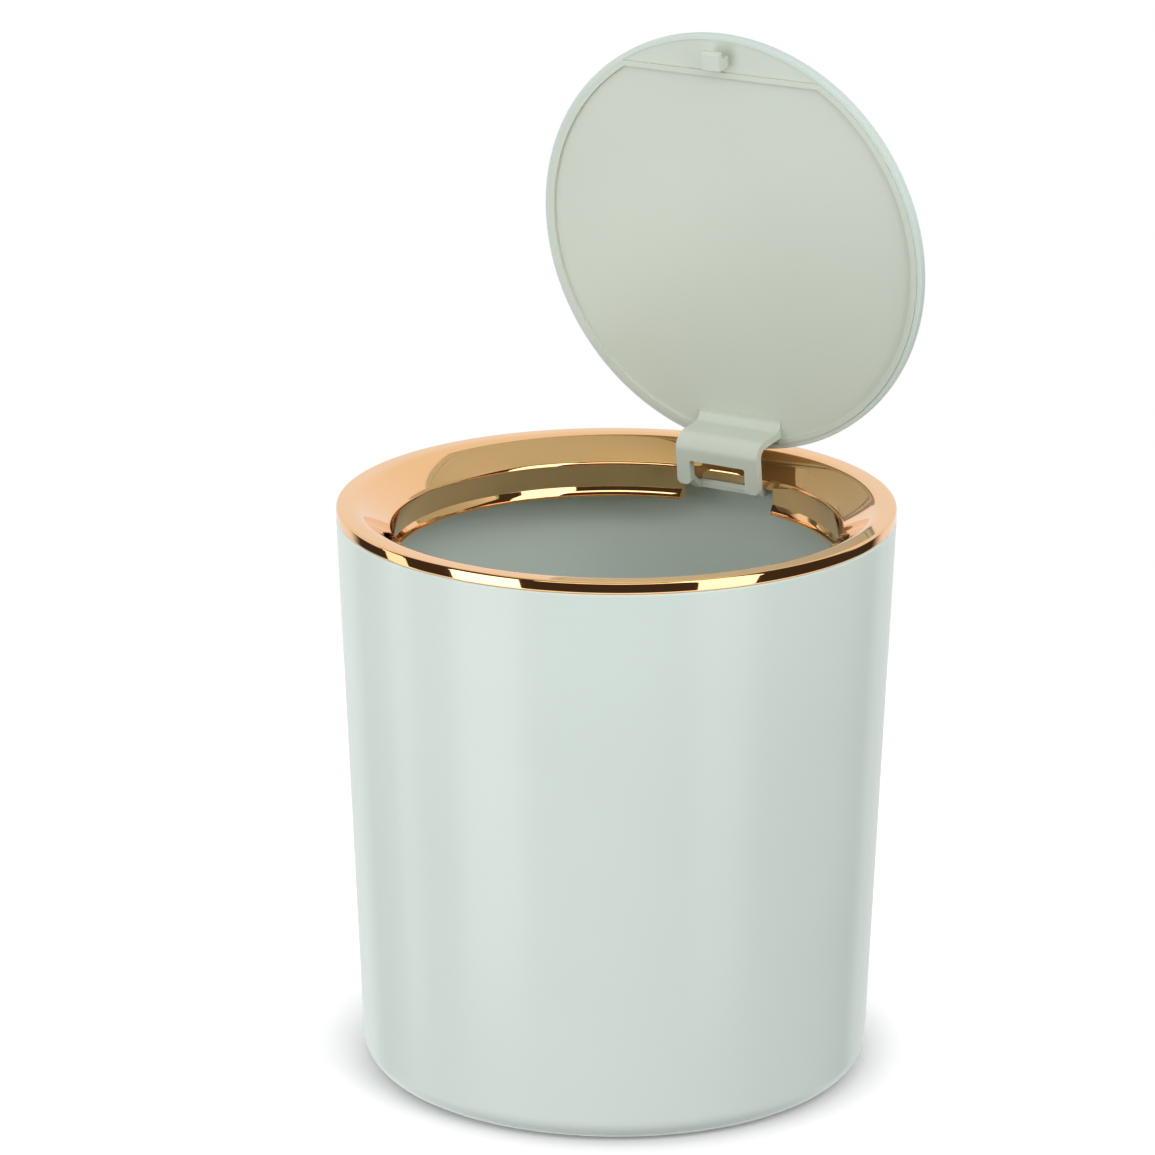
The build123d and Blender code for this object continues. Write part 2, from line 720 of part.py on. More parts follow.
nodes = {
    "bin_body": bin_body(),
    "rim_ring": rim_ring(),
    "lid_cover": lid_cover(),
    "lid_inner_panel": lid_inner_panel(),
    "lid_hinge_bracket": lid_hinge_bracket(),
    "hinge_holder": hinge_holder(),
    "hinge_holder_screws": screw_pair(*holder_screw_place(), flange_drop + flange_thickness),
    "hinge_pin": hinge_pin(),
    "hinge_spring": hinge_spring(),
    "hinge_spring_lid_end": hinge_spring_lid_end(),
    "latch_housing": latch_housing(),
    "latch_cover": latch_cover(),
    "latch_slider": latch_slider(),
    "latch_claw": latch_claw(),
    "latch_claw_pin": latch_claw_pin(),
    "latch_spring": latch_spring(),
    "latch_cam_link": latch_cam_link(),
    "latch_screws": screw_pair(
        latch_screw_x, -latch_screw_y, latch_flange_drop + latch_flange_thickness),
}

os.makedirs("parts", exist_ok=True)
for name, solid in nodes.items():
    export_step(solid, f"parts/{name}.step")
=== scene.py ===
import json
import math

import bmesh
import bpy
from mathutils import Matrix, Vector


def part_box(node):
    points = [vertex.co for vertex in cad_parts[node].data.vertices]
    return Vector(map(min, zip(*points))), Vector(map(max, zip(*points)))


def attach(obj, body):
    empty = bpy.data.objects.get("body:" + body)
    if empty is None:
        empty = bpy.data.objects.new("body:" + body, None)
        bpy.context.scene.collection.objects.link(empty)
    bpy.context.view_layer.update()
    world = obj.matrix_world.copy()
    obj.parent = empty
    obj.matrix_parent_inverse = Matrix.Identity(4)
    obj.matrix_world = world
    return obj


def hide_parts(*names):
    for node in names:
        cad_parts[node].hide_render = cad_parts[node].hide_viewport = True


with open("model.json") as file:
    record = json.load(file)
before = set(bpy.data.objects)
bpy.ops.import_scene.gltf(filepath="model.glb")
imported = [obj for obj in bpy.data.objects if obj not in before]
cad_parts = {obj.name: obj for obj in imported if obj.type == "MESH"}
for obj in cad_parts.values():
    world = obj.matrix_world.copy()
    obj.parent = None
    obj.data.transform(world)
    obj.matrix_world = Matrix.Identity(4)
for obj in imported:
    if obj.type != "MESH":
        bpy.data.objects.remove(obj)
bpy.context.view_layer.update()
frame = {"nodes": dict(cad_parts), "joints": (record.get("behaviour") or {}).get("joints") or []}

MM = 0.001

# ---------------------------------------------------------------- fineness of the meshes
TURN_STEPS = 360                     # facets round a turned piece
ROUND_STEPS = 10                     # facets round a turned piece's corner
DOME_RINGS = 12                      # rings from the middle of a dome to its edge
BEVEL_STEPS = 3                      # facets across a rounded edge
WELD = 0.002                         # points nearer than this are one, in millimetres
CAD_WELD = 0.001                     # the same on a mesh that comes from the CAD
FLAT_ANGLE = math.radians(1)         # faces that meet at less are one face
SHARP_ANGLE = math.radians(30)       # faces that meet at more have a sharp edge
ROUNDED_ANGLE = math.radians(35)     # edges with a larger angle are rounded

# ---------------------------------------------------------------- sizes, in millimetres
CUP_WALL = 1.8
CUP_FLOOR = 2.2
BASE_ROUND = 6.0
FOOT_RING = 5.0
FOOT_RECESS = 0.8
FOOT_EDGE = 0.3                      # rounding of the foot ring's edges
SIDE_TAPER = 5.5
CUP_LIP_ROUND = 0.45

CROWN_ROUND = 0.7
BAND_ROUND = 0.5
CROWN_WIDTH = 4.6
CREASE_ROUND = 5.0
CONE_WIDTH = 8.2
CONE_DROP = 5.3
MOUTH_ROUND = 1.3
RIM_WALL = 1.8
COLLAR_WALL = 1.4
BEAD_DROP = 11.2                     # the bead runs round the foot of the collar
BEAD_HEIGHT = 2.4
BEAD_REACH = 1.0
BEAD_SLOPE = 1.5                     # how far its face falls over its reach
BEAD_HOLLOW = 0.1                    # rounding where the collar meets the bead
BEAD_ROUND = 2.8                     # of the bead's face
BEAD_FOOT_ROUND = 0.05
BEAD_BACK_ROUND = 0.2
SKIRT_DROP = 12.5
SKIRT_WALL = 1.3
SKIRT_GAP = 0.3
SKIRT_ROUND = 0.3
NOTCH_HALF = 12.6                    # gap in the collar for the hinge bracket
NOTCH_DROP = 7.8
SKIRT_NOTCH_HALF = 13.8
SKIRT_NOTCH_DROP = 3.4
SKIRT_NOTCH_Y = 57.9
SLOT_HALF = 4.3                      # gap in the collar for the latch
SLOT_DROP = 6.2
SLOT_BEYOND = 0.2                    # how far it cuts past the collar
CUT_BEYOND = 1.0                     # how far a cutting box reaches past what it cuts

LID_RADIUS = 51.6
LID_DROP = 8.0
LID_EDGE_HEIGHT = 3.5
LID_DOME = 1.0
LID_EDGE_ROUND = 1.8
LID_SIDE_WALL = 1.2
LID_TOP_WALL = 1.4
COVER_LIFT = 0.3
COVER_FOOT_ROUND = 0.3
PANEL_GAP = 0.02                     # closed up against the cover, as moulded parts snap
PANEL_LIP = 1.4
PANEL_EDGE = 0.55                    # rounding of the lip and rib
PANEL_SNAP = 0.05                    # the edge this near the cover stays sharp
PANEL_RECESS = 0.8
PANEL_FLOOR = 1.1
WELL_ROUND = 0.1
RIB_OFFSET = 41.4
RIB_WIDTH = 1.3
FRONT_LIFT = 0.3
BRACKET_WALL_Y = 45.9                # the bracket stands on the floor from here outwards
HOOK_HALF = 2.3
HOOK_INSET = 4.7
HOOK_THICKNESS = 2.7
HOOK_REACH = 3.8
BARB_REACH = 1.7
BARB_HEIGHT = 1.5
BARB_CHAMFER = 0.7
LID_OPEN = math.radians(83.0)

BRACKET_EDGE = 0.4                   # rounding of the bracket's edges
SMALL_EDGE = 0.22                    # of the small moulded pieces
FINE_EDGE = 0.08                     # and of the smallest

# ---------------------------------------------------------------- places read from the frame
rim_low, rim_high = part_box("rim_ring")
RIM_RADIUS = rim_high.x / MM
CROWN_Z = rim_high.z / MM
RIM_FOOT = rim_low.z / MM
SKIRT_FOOT = CROWN_Z - SKIRT_DROP
CUP_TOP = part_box("bin_body")[1].z / MM
hinge = next(joint for joint in frame["joints"] if joint["name"] == "lid_hinge")
HINGE = Vector(hinge["pos_m"])

CROWN_INNER = RIM_RADIUS - CROWN_WIDTH
MOUTH = CROWN_INNER - CONE_WIDTH
COLLAR_OUTER = MOUTH + COLLAR_WALL
LID_UNDER = CROWN_Z - LID_DROP


# ---------------------------------------------------------------- mesh helpers
def rounded(corners):
    """Points round a closed outline; a corner is (x, y) or (x, y, rounding)."""
    points = []
    count = len(corners)
    for i, corner in enumerate(corners):
        here = Vector(corner[:2])
        radius = corner[2] if len(corner) > 2 else 0
        if not radius:
            points.append(here)
            continue
        before = (Vector(corners[i - 1][:2]) - here).normalized()
        after = (Vector(corners[(i + 1) % count][:2]) - here).normalized()
        half = before.angle(after) / 2
        reach = radius / math.tan(half)
        centre = here + (before + after).normalized() * (radius / math.sin(half))
        start = here + before * reach - centre
        end = here + after * reach - centre
        sweep = start.angle_signed(end)
        for step in range(ROUND_STEPS + 1):
            turn = Matrix.Rotation(-sweep * step / ROUND_STEPS, 2)
            points.append(centre + turn @ start)
    return points


def new_object(name, bm):
    """A mesh object, shaded smooth except at its real edges."""
    bmesh.ops.remove_doubles(bm, verts=bm.verts, dist=WELD * MM)
    bmesh.ops.recalc_face_normals(bm, faces=bm.faces)
    mesh = bpy.data.meshes.new(name)
    bm.to_mesh(mesh)
    bm.free()
    obj = bpy.data.objects.new(name, mesh)
    bpy.context.scene.collection.objects.link(obj)
    smooth(obj)
    return obj


def smooth(obj):
    """Smooth shading with sharp edges where faces meet at more than SHARP_ANGLE."""
    for polygon in obj.data.polygons:
        polygon.use_smooth = True
    obj.data.set_sharp_from_angle(angle=SHARP_ANGLE)


def turned(name, corners):
    """A solid of revolution about Z from an outline of (radius, height, rounding)."""
    outline = rounded(corners)
    bm = bmesh.new()
    rings = []
    for step in range(TURN_STEPS):
        angle = 2 * math.pi * step / TURN_STEPS
        across, along = math.cos(angle) * MM, math.sin(angle) * MM
        rings.append([bm.verts.new((p.x * across, p.x * along, p.y * MM)) for p in outline])
    count = len(outline)
    for step in range(TURN_STEPS):
        near, far = rings[step], rings[(step + 1) % TURN_STEPS]
        for i in range(count):
            j = (i + 1) % count
            if max(outline[i].x, outline[j].x) > 0:
                bm.faces.new((near[i], near[j], far[j], far[i]))
    return new_object(name, bm)


def prism(name, corners, half_width):
    """A solid with an outline of (y, z), as wide along X on each side of the middle."""
    bm = bmesh.new()
    outline = [Vector((0, *corner)) * MM for corner in corners]
    across = Vector((half_width * MM, 0, 0))
    near = [bm.verts.new(p - across) for p in outline]
    far = [bm.verts.new(p + across) for p in outline]
    bm.faces.new(near)
    bm.faces.new(far[::-1])
    for i in range(len(outline)):
        bm.faces.new((near[i], near[i - 1], far[i - 1], far[i]))
    return new_object(name, bm)


def box_tool(name, x, y, z):
    """A box between pairs of x, y and z, used to cut another piece."""
    bm = bmesh.new()
    bmesh.ops.create_cube(bm, size=1)
    size = Vector((x[1] - x[0], y[1] - y[0], z[1] - z[0])) * MM
    middle = Vector((x[1] + x[0], y[1] + y[0], z[1] + z[0])) * MM / 2
    bmesh.ops.scale(bm, vec=size, verts=bm.verts)
    bmesh.ops.translate(bm, vec=middle, verts=bm.verts)
    return new_object(name, bm)


def baked(obj):
    """Applies an object's modifiers to its mesh."""
    bpy.context.view_layer.update()
    evaluated = obj.evaluated_get(bpy.context.evaluated_depsgraph_get())
    mesh = bpy.data.meshes.new_from_object(evaluated)
    old = obj.data
    obj.modifiers.clear()
    obj.data = mesh
    bpy.data.meshes.remove(old)
    return obj


def combined(obj, tool, operation):
    """Cuts a tool out of a piece, or joins it on, and removes the tool."""
    step = obj.modifiers.new("join", "BOOLEAN")
    step.operation = operation
    step.object = tool
    step.solver = "EXACT"
    baked(obj)
    bpy.data.objects.remove(tool)
    smooth(obj)


def swung_open(obj):
    """Turns a lid piece, made closed, about the hinge to where the lid rests."""
    turn = Matrix.Rotation(-LID_OPEN, 4, "X")
    obj.data.transform(Matrix.Translation(HINGE) @ turn @ Matrix.Translation(-HINGE))
    return obj


def edges_rounded(obj, width, sharp_beyond=math.inf):
    """Rounds a piece's edges, except those wholly beyond a radius about the Z axis."""
    bm = bmesh.new()
    bm.from_mesh(obj.data)
    weight = bm.edges.layers.float.new("bevel_weight_edge")
    for edge in bm.edges:
        angle = edge.calc_face_angle(0)
        near = min(vert.co.xy.length for vert in edge.verts) < sharp_beyond * MM
        edge[weight] = 1.0 if angle > ROUNDED_ANGLE and near else 0.0
    bm.to_mesh(obj.data)
    bm.free()
    bevel = obj.modifiers.new("edges", "BEVEL")
    bevel.width = width * MM
    bevel.segments = BEVEL_STEPS
    bevel.limit_method = "WEIGHT"
    bevel.use_clamp_overlap = True
    baked(obj)
    smooth(obj)
    normals = obj.modifiers.new("normals", "WEIGHTED_NORMAL")
    normals.keep_sharp = True
    return baked(obj)


def softened(node, edge):
    """A copy of a CAD node's mesh with its edges rounded the way mouldings are."""
    bm = bmesh.new()
    bm.from_mesh(frame["nodes"][node].data)
    bmesh.ops.remove_doubles(bm, verts=bm.verts, dist=CAD_WELD * MM)
    bmesh.ops.dissolve_limit(
        bm, angle_limit=FLAT_ANGLE, verts=bm.verts, edges=bm.edges, delimit={"NORMAL"})
    return edges_rounded(new_object(node + "_moulding", bm), edge)


# ---------------------------------------------------------------- materials
SMOOTH, SOFT, GRAINY, FINEST = 1.0, 2.0, 3.0, 4.0    # how much detail a noise has
RAMP_FROM, RAMP_TO = 0.35, 0.65      # most of a noise lies between these

SATIN_IOR = 1.5
SATIN_SPECULAR = 0.25
DRIFT_SCALE = 18.0                   # slow drift of a plastic's tone
GLOSS_SPREAD = 0.07                  # how much its grain changes the roughness
GRAIN_DEPTH = 0.02                   # height of the finest grain, in millimetres
RIPPLE_SCALE = 35.0                  # slow ripple of a large moulding
RIPPLE_DEPTH = 0.5
PLATING_DRIFT_SCALE = 25.0
PLATING_DRIFT = 0.96                 # the deeper tone's share of the colour
PLATING_HAZE_SCALE = 400.0
PLATING_HAZE = (0.8, 1.3)            # the roughness goes between these shares
PLATING_RIPPLE_SCALE = 60.0
PLATING_RIPPLE = 0.08
PLATING_RIPPLE_DEPTH = 0.2
STEEL_DRIFT_SCALE = 300.0
STEEL_GRAIN_SCALE = 1500.0
STEEL_GRAIN = 0.15
STEEL_ROUGHNESS = (0.24, 0.4)


def linear(red, green, blue):
    """Linear colour of an sRGB colour given as 0 to 255."""
    parts = []
    for value in (red, green, blue):
        part = value / 255
        parts.append(part / 12.92 if part <= 0.04045 else ((part + 0.055) / 1.055) ** 2.4)
    return (*parts, 1.0)


def grey(value):
    """Grey of a linear brightness."""
    return (value, value, value, 1.0)


def scaled(colour, share):
    """A colour made darker or lighter, no lighter than white."""
    return (*(min(1.0, part * share) for part in colour[:3]), 1.0)


def new_material(name):
    """A node material with its nodes and links."""
    material = bpy.data.materials.new(name)
    material.use_nodes = True
    return material, material.node_tree.nodes, material.node_tree.links


def noise(nodes, links, scale, detail):
    """Noise in the object's own space, so it doesn't slide."""
    place = nodes.new("ShaderNodeTexCoord")
    texture = nodes.new("ShaderNodeTexNoise")
    texture.inputs["Scale"].default_value = scale
    texture.inputs["Detail"].default_value = detail
    links.new(place.outputs["Object"], texture.inputs["Vector"])
    return texture.outputs["Fac"]


def ramp(nodes, links, value, low, high):
    """Colours that a noise fades between."""
    step = nodes.new("ShaderNodeValToRGB")
    first, last = step.color_ramp.elements
    first.position, first.color = RAMP_FROM, low
    last.position, last.color = RAMP_TO, high
    links.new(value, step.inputs["Fac"])
    return step.outputs["Color"]


def bump(nodes, links, height, strength, depth, below=None):
    """Normal of a relief with a depth in millimetres, on top of the one below."""
    step = nodes.new("ShaderNodeBump")
    step.inputs["Strength"].default_value = strength
    step.inputs["Distance"].default_value = depth * MM
    links.new(height, step.inputs["Height"])
    if below:
        links.new(below, step.inputs["Normal"])
    return step.outputs["Normal"]


def moulded_plastic(name, colour, spread, roughness, grain_scale, grain, ripple=0.0):
    """Satin injection-moulded plastic: faint tone drift, grain in the gloss, slow ripple."""
    material, nodes, links = new_material(name)
    shader = nodes["Principled BSDF"]
    shader.inputs["IOR"].default_value = SATIN_IOR
    shader.inputs["Specular IOR Level"].default_value = SATIN_SPECULAR
    drift = noise(nodes, links, DRIFT_SCALE, SOFT)
    tones = ramp(nodes, links, drift, scaled(colour, 1 - spread), scaled(colour, 1 + spread))
    links.new(tones, shader.inputs["Base Color"])
    fine = noise(nodes, links, grain_scale, GRAINY)
    smoothest, roughest = roughness * (1 - GLOSS_SPREAD), roughness * (1 + GLOSS_SPREAD)
    gloss = ramp(nodes, links, fine, grey(smoothest), grey(roughest))
    links.new(gloss, shader.inputs["Roughness"])
    normal = bump(nodes, links, fine, grain, GRAIN_DEPTH)
    if ripple:
        slow = noise(nodes, links, RIPPLE_SCALE, SMOOTH)
        normal = bump(nodes, links, slow, ripple, RIPPLE_DEPTH, normal)
    links.new(normal, shader.inputs["Normal"])
    return material


def plating(name, colour, roughness):
    """Mirror plating on a moulding: slow ripple, faint haze and tone drift."""
    material, nodes, links = new_material(name)
    shader = nodes["Principled BSDF"]
    shader.inputs["Metallic"].default_value = 1.0
    drift = noise(nodes, links, PLATING_DRIFT_SCALE, SOFT)
    tones = ramp(nodes, links, drift, scaled(colour, PLATING_DRIFT), colour)
    links.new(tones, shader.inputs["Base Color"])
    haze = noise(nodes, links, PLATING_HAZE_SCALE, FINEST)
    clearest, haziest = (grey(roughness * share) for share in PLATING_HAZE)
    links.new(ramp(nodes, links, haze, clearest, haziest), shader.inputs["Roughness"])
    slow = noise(nodes, links, PLATING_RIPPLE_SCALE, SMOOTH)
    normal = bump(nodes, links, slow, PLATING_RIPPLE, PLATING_RIPPLE_DEPTH)
    links.new(normal, shader.inputs["Normal"])
    return material


def drawn_steel(name, dark, light):
    """Steel wire, pins and screws: fine grain in the gloss."""
    material, nodes, links = new_material(name)
    shader = nodes["Principled BSDF"]
    shader.inputs["Metallic"].default_value = 1.0
    drift = noise(nodes, links, STEEL_DRIFT_SCALE, GRAINY)
    links.new(ramp(nodes, links, drift, dark, light), shader.inputs["Base Color"])
    fine = noise(nodes, links, STEEL_GRAIN_SCALE, FINEST)
    smoothest, roughest = (grey(value) for value in STEEL_ROUGHNESS)
    links.new(ramp(nodes, links, fine, smoothest, roughest), shader.inputs["Roughness"])
    links.new(bump(nodes, links, fine, STEEL_GRAIN, GRAIN_DEPTH), shader.inputs["Normal"])
    return material


cup_plastic = moulded_plastic(
    "cup_plastic", linear(207, 219, 212), spread=0.012, roughness=0.22,
    grain_scale=900.0, grain=0.05, ripple=0.02)
lid_plastic = moulded_plastic(
    "lid_plastic", linear(203, 216, 209), spread=0.012, roughness=0.33,
    grain_scale=900.0, grain=0.05)
panel_plastic = moulded_plastic(
    "panel_plastic", linear(200, 208, 196), spread=0.015, roughness=0.3,
    grain_scale=1400.0, grain=0.1)
mechanism_plastic = moulded_plastic(
    "mechanism_plastic", linear(196, 208, 200), spread=0.02, roughness=0.42,
    grain_scale=1400.0, grain=0.12)
latch_plastic = moulded_plastic(
    "latch_plastic", linear(226, 228, 224), spread=0.02, roughness=0.4,
    grain_scale=1400.0, grain=0.12)
rose_gold = plating("rose_gold_plating", linear(251, 200, 146), roughness=0.04)
steel = drawn_steel("steel", linear(168, 168, 166), linear(196, 196, 194))


def dress(obj, material, slot, body, *nodes):
    """Gives a new piece its material and body, and hides the nodes it stands for."""
    obj.data.materials.clear()
    obj.data.materials.append(material)
    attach(obj, body)
    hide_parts(*nodes)


# ---------------------------------------------------------------- cup
def cup_shell():
    """Tapered cup with a rounded base and a foot ring round a shallow recess."""
    base = RIM_RADIUS - SIDE_TAPER
    slope = SIDE_TAPER / CUP_TOP
    recess = base - BASE_ROUND - FOOT_RING
    return turned("cup_shell", [
        (0, FOOT_RECESS),
        (recess, FOOT_RECESS, FOOT_EDGE),
        (recess, 0, FOOT_EDGE),
        (base, 0, BASE_ROUND),
        (RIM_RADIUS, CUP_TOP, CUP_LIP_ROUND),
        (RIM_RADIUS - CUP_WALL, CUP_TOP, CUP_LIP_ROUND),
        (base + slope * CUP_FLOOR - CUP_WALL, CUP_FLOOR, BASE_ROUND - CUP_WALL),
        (0, CUP_FLOOR)])


# ---------------------------------------------------------------- rim
def skirt_radius(z):
    """Outside of the skirt, which follows the inside of the cup."""
    return RIM_RADIUS - SIDE_TAPER * (CUP_TOP - z) / CUP_TOP - CUP_WALL - SKIRT_GAP


def rim_shell():
    """Plated ring: flat crown, cone down to the mouth, collar with its bead, and skirt."""
    slope = CONE_DROP / CONE_WIDTH
    under = RIM_WALL * math.hypot(1, slope)
    cone_foot = CROWN_Z - (CROWN_INNER - COLLAR_OUTER) * slope - under
    flat_end = CROWN_INNER + (under - RIM_WALL) / slope
    bead_top = CROWN_Z - BEAD_DROP
    bead_foot = bead_top - BEAD_HEIGHT
    skirt_top = skirt_radius(CUP_TOP)
    skirt_end = skirt_radius(SKIRT_FOOT)
    crown_under = CROWN_Z - RIM_WALL
    ring = turned("rim_shell", [
        (RIM_RADIUS, CUP_TOP, BAND_ROUND),
        (RIM_RADIUS, CROWN_Z, CROWN_ROUND),
        (CROWN_INNER, CROWN_Z, CREASE_ROUND),
        (MOUTH, CROWN_Z - CONE_DROP, MOUTH_ROUND),
        (MOUTH, bead_top, BEAD_HOLLOW),
        (MOUTH - BEAD_REACH, bead_top - BEAD_SLOPE, BEAD_ROUND),
        (MOUTH - BEAD_REACH, bead_foot, BEAD_FOOT_ROUND),
        (COLLAR_OUTER, bead_foot, BEAD_BACK_ROUND),
        (COLLAR_OUTER, cone_foot),
        (flat_end, crown_under),
        (skirt_top - SKIRT_WALL, crown_under),
        (skirt_end - SKIRT_WALL, SKIRT_FOOT, SKIRT_ROUND),
        (skirt_end, SKIRT_FOOT, SKIRT_ROUND),
        (skirt_top, CUP_TOP)])
    low = RIM_FOOT - CUT_BEYOND
    notch = box_tool(
        "notch", (-NOTCH_HALF, NOTCH_HALF), (0, COLLAR_OUTER + COLLAR_WALL),
        (low, CROWN_Z - NOTCH_DROP))
    skirt_notch = box_tool(
        "skirt_notch", (-SKIRT_NOTCH_HALF, SKIRT_NOTCH_HALF),
        (SKIRT_NOTCH_Y, RIM_RADIUS + CUT_BEYOND), (low, CROWN_Z - SKIRT_NOTCH_DROP))
    slot = box_tool(
        "slot", (-SLOT_HALF, SLOT_HALF), (-COLLAR_OUTER - SLOT_BEYOND, 0),
        (low, CROWN_Z - SLOT_DROP))
    for tool in (notch, skirt_notch, slot):
        combined(ring, tool, "DIFFERENCE")
    return ring


# ---------------------------------------------------------------- lid
def dome_height(radius, top, edge):
    """Height of a shallow dome at a radius; edge is the radius where it ends."""
    sphere = (edge ** 2 + LID_DOME ** 2) / (2 * LID_DOME)
    return top - sphere + math.sqrt(sphere ** 2 - radius ** 2)


def lid_shell():
    """Thin domed cover with a side wall, made closed and swung open."""
    foot = LID_UNDER + COVER_LIFT
    edge_z = LID_UNDER + LID_EDGE_HEIGHT
    inner = LID_RADIUS - LID_SIDE_WALL
    roof = edge_z - LID_TOP_WALL
    top, ceiling = [], []
    for i in range(DOME_RINGS):
        out = LID_RADIUS * i / DOME_RINGS
        within = inner * i / DOME_RINGS
        top.append((out, dome_height(out, edge_z + LID_DOME, LID_RADIUS)))
        ceiling.append((within, dome_height(within, roof + LID_DOME, inner)))
    side = [
        (LID_RADIUS, edge_z, LID_EDGE_ROUND), (LID_RADIUS, foot, COVER_FOOT_ROUND),
        (inner, foot), (inner, roof)]
    return swung_open(turned("lid_shell", top + side + ceiling[::-1]))


def strike_hook():
    """Barbed hook that stands on the floor in front of the rib, lid closed."""
    root = LID_UNDER + PANEL_RECESS - FRONT_LIFT
    tip = LID_UNDER - HOOK_REACH
    front = LID_RADIUS - HOOK_INSET
    barb = front + BARB_REACH
    return prism("hook", [
        (HOOK_THICKNESS - front, root),
        (HOOK_THICKNESS - front, tip),
        (BARB_CHAMFER - barb, tip),
        (-barb, tip + BARB_CHAMFER),
        (-barb, tip + BARB_HEIGHT),
        (-front, tip + BARB_HEIGHT),
        (-front, root)], HOOK_HALF)


def lid_panel():
    """Underside: a D-shaped lip round the floor, a bare floor in front of its straight rib."""
    outer = LID_RADIUS - LID_SIDE_WALL - PANEL_GAP
    inner = outer - PANEL_LIP
    floor = LID_UNDER + PANEL_RECESS
    below = LID_UNDER - CUT_BEYOND
    root_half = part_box("lid_hinge_bracket")[1].x / MM
    panel = turned("lid_panel", [
        (0, floor + PANEL_FLOOR), (0, LID_UNDER), (outer, LID_UNDER),
        (outer, floor + PANEL_FLOOR)])
    well = turned("well", [(0, below), (inner, below), (inner, floor, WELL_ROUND), (0, floor)])
    behind = box_tool(
        "behind", (-outer, outer), (-RIB_OFFSET, outer),
        (below - CUT_BEYOND, floor + CUT_BEYOND))
    combined(well, behind, "INTERSECT")
    ahead = box_tool(
        "ahead", (-LID_RADIUS, LID_RADIUS), (-LID_RADIUS, -RIB_OFFSET - RIB_WIDTH),
        (below, floor - FRONT_LIFT))
    root = box_tool("root", (-root_half, root_half), (BRACKET_WALL_Y, LID_RADIUS), (below, floor))
    for tool in (well, ahead, root):
        combined(panel, tool, "DIFFERENCE")
    combined(panel, strike_hook(), "UNION")
    return swung_open(edges_rounded(panel, PANEL_EDGE, outer - PANEL_SNAP))


dress(cup_shell(), cup_plastic, "cup_plastic", "bin", "bin_body")
dress(rim_shell(), rose_gold, "rose_gold_plating", "rim", "rim_ring")
dress(lid_shell(), lid_plastic, "lid_plastic", "lid", "lid_cover")
dress(lid_panel(), panel_plastic, "panel_plastic", "lid", "lid_inner_panel")

mouldings = (
    ("lid_hinge_bracket", panel_plastic, "panel_plastic", "lid", BRACKET_EDGE),
    ("hinge_holder", mechanism_plastic, "mechanism_plastic", "rim", SMALL_EDGE),
    ("latch_housing", latch_plastic, "latch_plastic", "rim", SMALL_EDGE),
    ("latch_cover", latch_plastic, "latch_plastic", "rim", SMALL_EDGE),
    ("latch_slider", latch_plastic, "latch_plastic", "slider", SMALL_EDGE),
    ("latch_claw", latch_plastic, "latch_plastic", "claw", FINE_EDGE),
)
for node, material, slot, body, edge in mouldings:
    dress(softened(node, edge), material, slot, body, node)

steel_nodes = (
    "hinge_pin", "hinge_spring", "hinge_spring_lid_end", "hinge_holder_screws",
    "latch_claw_pin", "latch_spring", "latch_cam_link", "latch_screws",
)
for node in steel_nodes:
    slots = frame["nodes"][node].data.materials
    slots.clear()
    slots.append(steel)


# ---------------------------------------------------------------- floor, light and camera
CAMERA_AZIMUTH = math.radians(31.65)     # from the -Y side towards +X
CAMERA_PITCH = math.radians(16.89)       # down
CAMERA_YAW = math.radians(0.42)          # to its left
CAMERA_ROLL = math.radians(0.10)
CAMERA_DISTANCE = 1.2262                 # metres from the bin's axis, on the level
CAMERA_HEIGHT = 0.4898                   # metres above the floor
CAMERA_NEAREST = 0.01
FRAME_PIXELS = 1155
FOCAL_PIXELS = 5500
SENSOR_MM = 36.0

UP = Vector((0, 0, 1))
TO_CAMERA = Vector((math.sin(CAMERA_AZIMUTH), -math.cos(CAMERA_AZIMUTH), 0))
TO_RIGHT = Vector((math.cos(CAMERA_AZIMUTH), math.sin(CAMERA_AZIMUTH), 0))

# Softboxes: degrees from the camera to its right, lowest and highest edge in degrees
# above the level, width in metres, and brightness, where 1 is a white surface in full light.
SOFTBOX_DISTANCE = 0.9
SOFTBOXES = (
    ("left_softbox", -53, -28, 24, 0.48, 3.1),
    ("right_softbox", 45, -28, 58, 0.44, 2.2),
    ("top_softbox", 0, 36, 50, 0.9, 2.2),
    ("far_left_softbox", -98, -29, 15, 0.2, 1.4),
)

# Light that falls on the bin from all round: its level below and above the horizon, and
# what each side adds. A pair is where a step begins and ends along a direction, as a cosine.
ROOM_FOOT = 0.02
ROOM_HEAD = 0.59
ROOM_RISE = (-0.3, 0.3)
ROOM_LEFT = 0.3
ROOM_RIGHT = 0.22
ROOM_BACK = 0.3
ROOM_SIDE = (0.3, 0.95)

# What mirrors see: a dark front, a pale ceiling, and a bright backdrop and table.
STUDIO_FRONT = linear(62, 54, 46)
STUDIO_CEILING = linear(218, 222, 176)
CEILING_EDGE = (0.85, 0.95)
BACKDROP_LEVEL = 0.92
BACKDROP_EDGE_WIDE = (0.25, 0.4)         # its sides above the horizon
BACKDROP_EDGE_NARROW = (0.6, 0.75)       # and below it
BACKDROP_SHOULDER = (-0.1, 0.1)          # where it widens
TABLE_LEVEL = 1.3
TABLE_EDGE = (-0.45, -0.6)

FLOOR_RADIUS = 0.32
FLOOR_STEPS = 128                        # facets round the floor's disc
FLOOR_DROP = 0.0002                      # below the bin's foot, so the two never flicker
FLOOR_GREY = 0.95
FLOOR_ROUGHNESS = 0.9
FLOOR_GLOW = 0.36
PAINTED_SHADOW_REACH = 0.02                     # how far the painted contact shadow goes round the foot
PAINTED_SHADOW_SKY = 0.5                        # share of open sky below which the glow is gone, where the painted shadow is darkest
